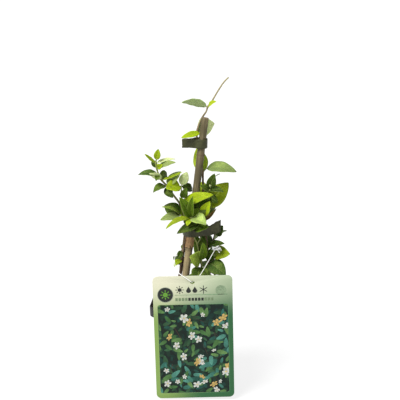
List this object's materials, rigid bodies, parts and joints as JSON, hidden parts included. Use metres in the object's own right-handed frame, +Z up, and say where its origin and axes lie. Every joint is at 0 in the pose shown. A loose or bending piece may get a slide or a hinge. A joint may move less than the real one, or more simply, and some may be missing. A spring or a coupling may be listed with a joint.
{
  "type": "potted climbing plant",
  "caption": "Young honeysuckle vine in a square nursery pot, tied to a leaning bamboo cane, with a hanging plastic label.",
  "frame": {"origin": "middle of the pot's underside", "axes": "+Z up along the pot's height, +X to the right of the label's face, +Y away from the label's face"},
  "size_m": [0.1066, 0.094, 0.3527],
  "materials": {
    "pot_black": "satin moulded plastic",
    "peat": "moist crumbly compost",
    "bamboo": "dry natural bamboo",
    "foliage": "living leaves and stems, lightly waxy",
    "tape": "dull flexible plant tie",
    "card": "satin printed card",
    "thread": "smooth white thread"
  },
  "bodies": {
    "root": {"pot": "pot_black", "soil": "peat", "cane": "bamboo", "leader": "foliage", "left_shoot": "foliage", "centre_shoot": "foliage", "basal_twig": "foliage", "upper_tie": "tape", "lower_tie": "tape", "label": "card", "label_thread": "thread"}
  },
  "joints": []
}
